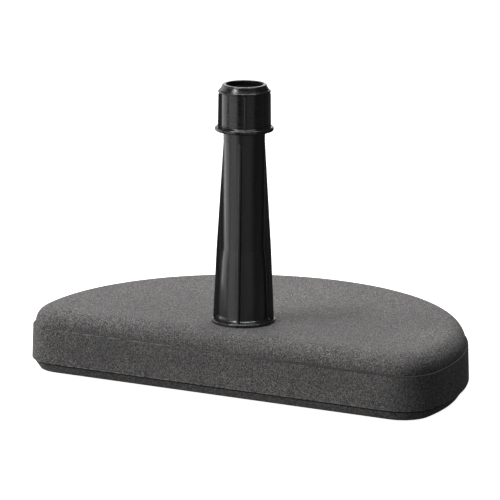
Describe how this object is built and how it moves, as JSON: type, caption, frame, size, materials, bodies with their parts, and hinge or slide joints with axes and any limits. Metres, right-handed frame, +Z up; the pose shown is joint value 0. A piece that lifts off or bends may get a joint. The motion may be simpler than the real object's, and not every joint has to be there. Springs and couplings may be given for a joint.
{
  "type": "parasol base",
  "caption": "Half-round concrete parasol base with an upright plastic pole tube and a screw clamping nut.",
  "frame": {"origin": "on the pole axis, at the floor", "axes": "+Z up along the pole axis; the straight front of the weight faces -Y and +X is to the right"},
  "size_m": [0.4798, 0.3009, 0.325],
  "materials": {
    "concrete": "dry-pressed grey concrete, fine sandy grain with small pale specks",
    "black_plastic": "black injection-moulded polypropylene, satin",
    "nut_plastic": "black injection-moulded polypropylene, satin with faint moulding marks",
    "collet_plastic": "black moulded plastic, satin",
    "zinc_steel": "zinc-plated steel",
    "pad_rubber": "black rubber, matt"
  },
  "bodies": {
    "base": {"concrete_weight": "concrete", "pole_tube": "black_plastic", "fixing_nut": "black_plastic", "fixing_washer": "zinc_steel", "foot_pad_front_left": "pad_rubber", "foot_pad_front_right": "pad_rubber", "foot_pad_rear_left": "pad_rubber", "foot_pad_rear_right": "pad_rubber"},
    "collet": {"clamp_collet": "collet_plastic"},
    "nut": {"clamp_nut": "nut_plastic"}
  },
  "joints": [
    {"name": "collet_lift", "type": "slide", "parent": "base", "child": "collet", "axis": [0, 0, 1], "range_m": [-0.0011, 0.0221]},
    {"name": "nut_turn", "type": "hinge", "parent": "collet", "child": "nut", "pos_m": [0, 0, 0.3], "axis": [0, 0, 1], "range_deg": [-90, 1980]}
  ],
  "couplings": [
    {"joint": "collet_lift", "follows": "nut_turn", "m_per_rad": 0.00063662}
  ]
}
